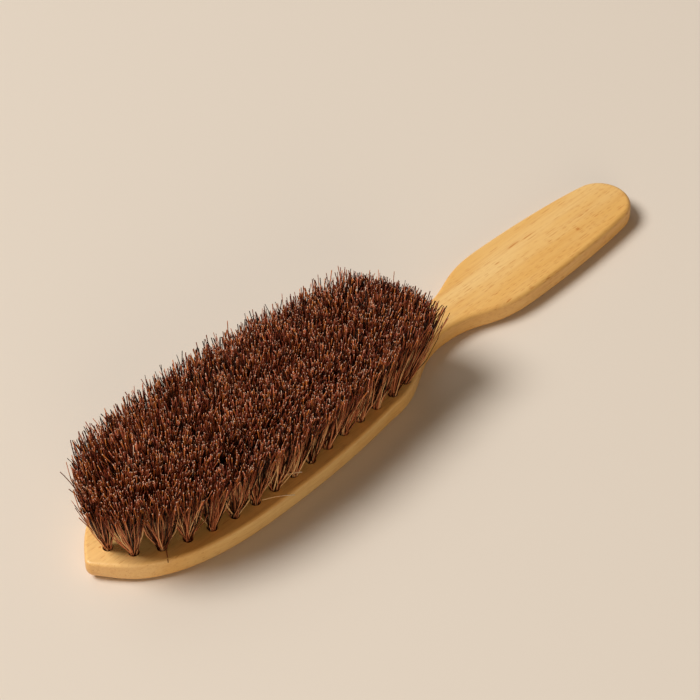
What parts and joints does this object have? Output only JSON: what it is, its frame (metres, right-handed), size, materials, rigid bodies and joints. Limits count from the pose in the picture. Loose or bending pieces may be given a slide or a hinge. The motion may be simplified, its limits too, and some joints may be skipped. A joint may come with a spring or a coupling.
{
  "type": "carpet brush",
  "caption": "Hand-held carpet brush with a one-piece beech stock, a pointed oval head set with stiff plant-fibre tufts, a slim neck and a paddle-shaped handle.",
  "frame": {"origin": "middle of the flat back, under the middle of the brush's box, with the brush lying on its back", "axes": "+X from the nose of the head to the end of the handle, +Y across the brush, +Z out of the bristle face"},
  "size_m": [0.3018, 0.06, 0.0406],
  "materials": {
    "beech": "satin oiled beech",
    "fibre": "stiff red-brown plant fibre",
    "staple_wire": "drawn wire"
  },
  "bodies": {
    "root": {"stock": "beech", "outer_tufts": "fibre", "inner_tufts": "fibre", "outer_staple_01": "staple_wire", "outer_staple_02": "staple_wire", "outer_staple_03": "staple_wire", "outer_staple_04": "staple_wire", "outer_staple_05": "staple_wire", "outer_staple_06": "staple_wire", "outer_staple_07": "staple_wire", "outer_staple_08": "staple_wire", "outer_staple_09": "staple_wire", "outer_staple_10": "staple_wire", "outer_staple_11": "staple_wire", "outer_staple_12": "staple_wire", "outer_staple_13": "staple_wire", "outer_staple_14": "staple_wire", "outer_staple_15": "staple_wire", "outer_staple_16": "staple_wire", "outer_staple_17": "staple_wire", "outer_staple_18": "staple_wire", "outer_staple_19": "staple_wire", "outer_staple_20": "staple_wire", "outer_staple_21": "staple_wire", "outer_staple_22": "staple_wire", "outer_staple_23": "staple_wire", "outer_staple_24": "staple_wire", "outer_staple_25": "staple_wire", "outer_staple_26": "staple_wire", "outer_staple_27": "staple_wire", "outer_staple_28": "staple_wire", "outer_staple_29": "staple_wire", "outer_staple_30": "staple_wire", "outer_staple_31": "staple_wire", "outer_staple_32": "staple_wire", "outer_staple_33": "staple_wire", "outer_staple_34": "staple_wire", "inner_staple_01": "staple_wire", "inner_staple_02": "staple_wire", "inner_staple_03": "staple_wire", "inner_staple_04": "staple_wire", "inner_staple_05": "staple_wire", "inner_staple_06": "staple_wire", "inner_staple_07": "staple_wire", "inner_staple_08": "staple_wire", "inner_staple_09": "staple_wire", "inner_staple_10": "staple_wire", "inner_staple_11": "staple_wire", "inner_staple_12": "staple_wire", "inner_staple_13": "staple_wire", "inner_staple_14": "staple_wire", "inner_staple_15": "staple_wire", "inner_staple_16": "staple_wire", "inner_staple_17": "staple_wire", "inner_staple_18": "staple_wire", "inner_staple_19": "staple_wire", "inner_staple_20": "staple_wire"}
  },
  "joints": []
}
